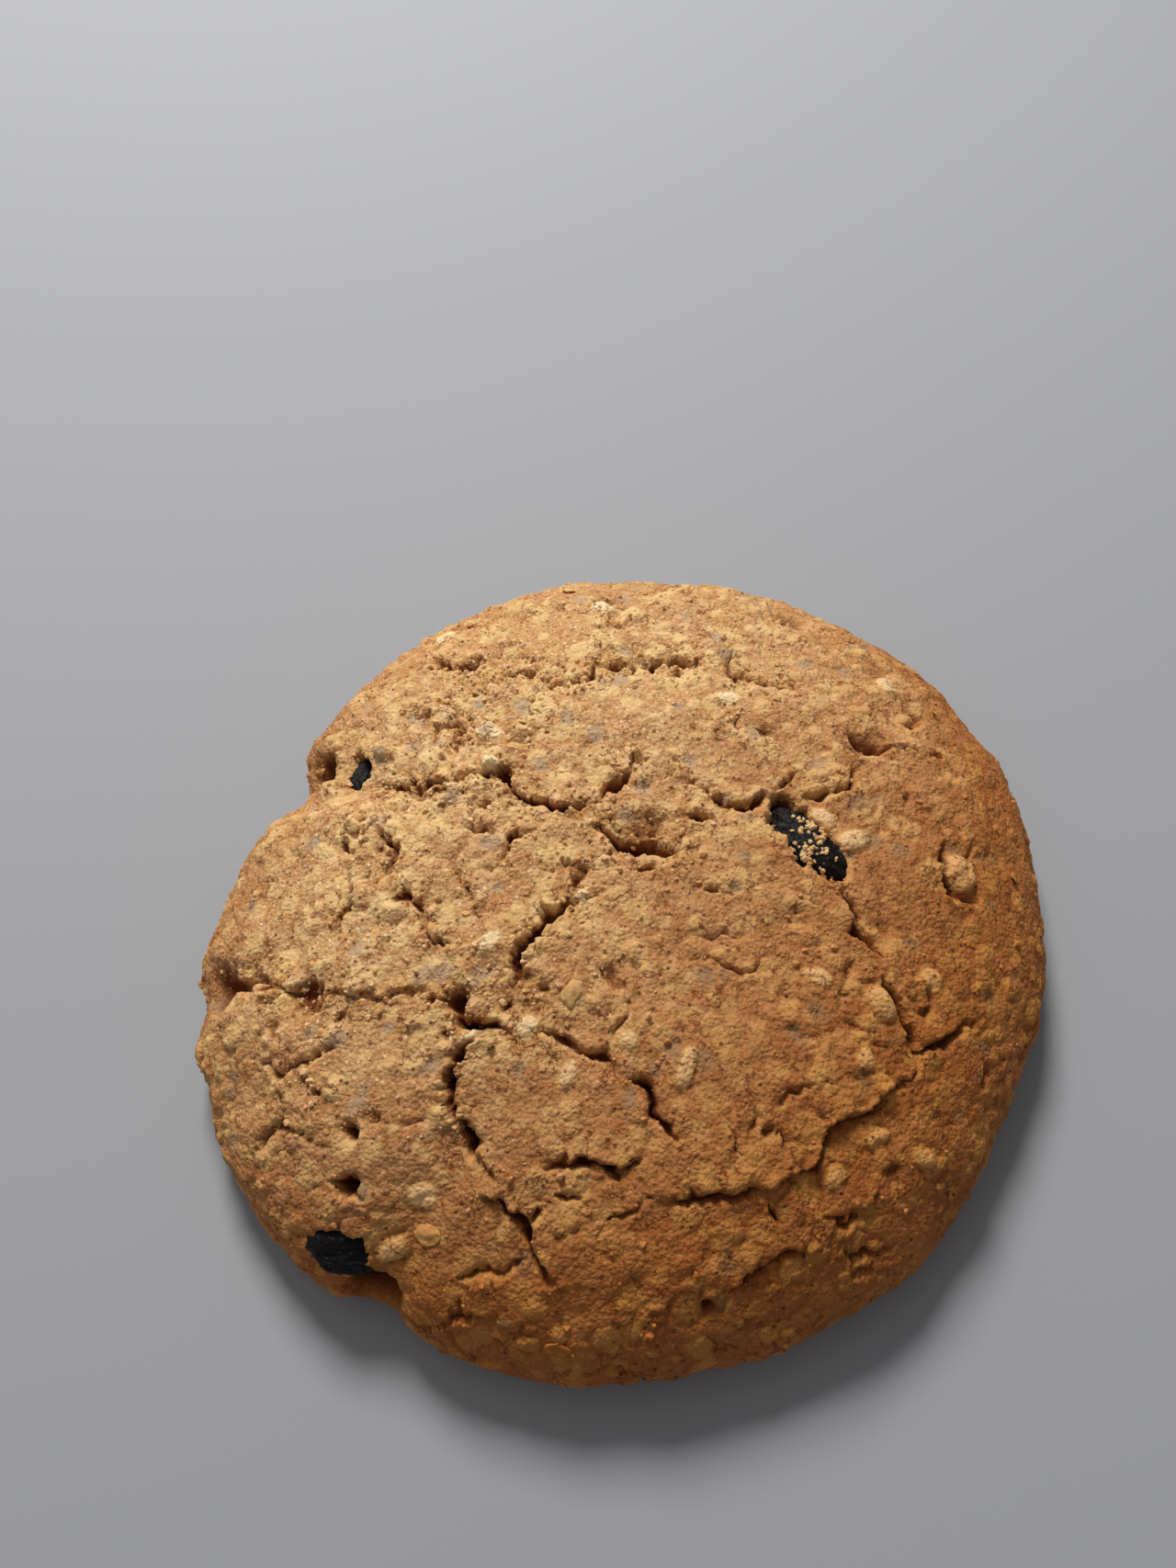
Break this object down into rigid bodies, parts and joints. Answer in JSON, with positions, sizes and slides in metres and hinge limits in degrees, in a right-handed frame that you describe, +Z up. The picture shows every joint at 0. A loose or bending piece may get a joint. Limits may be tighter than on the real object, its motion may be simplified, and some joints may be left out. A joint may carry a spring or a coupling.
{
  "type": "oatmeal raisin cookie",
  "caption": "Round domed drop cookie with a cracked, crumbly top, a rolled-under rim, a flat base and raisins set in pockets in its top and side.",
  "frame": {"origin": "middle of the flat base's outline, on the base", "axes": "+Z up out of the domed top; -Y towards the side with the front raisin, +X towards the right raisin"},
  "size_m": [0.0792, 0.0794, 0.0182],
  "materials": {
    "baked_oat_dough": "matte, granular, browned crumb",
    "raisin": "wrinkled, satin, nearly black"
  },
  "bodies": {
    "root": {"baked_dough": "baked_oat_dough", "raisin_right": "raisin", "raisin_left": "raisin", "raisin_front": "raisin"}
  },
  "joints": []
}
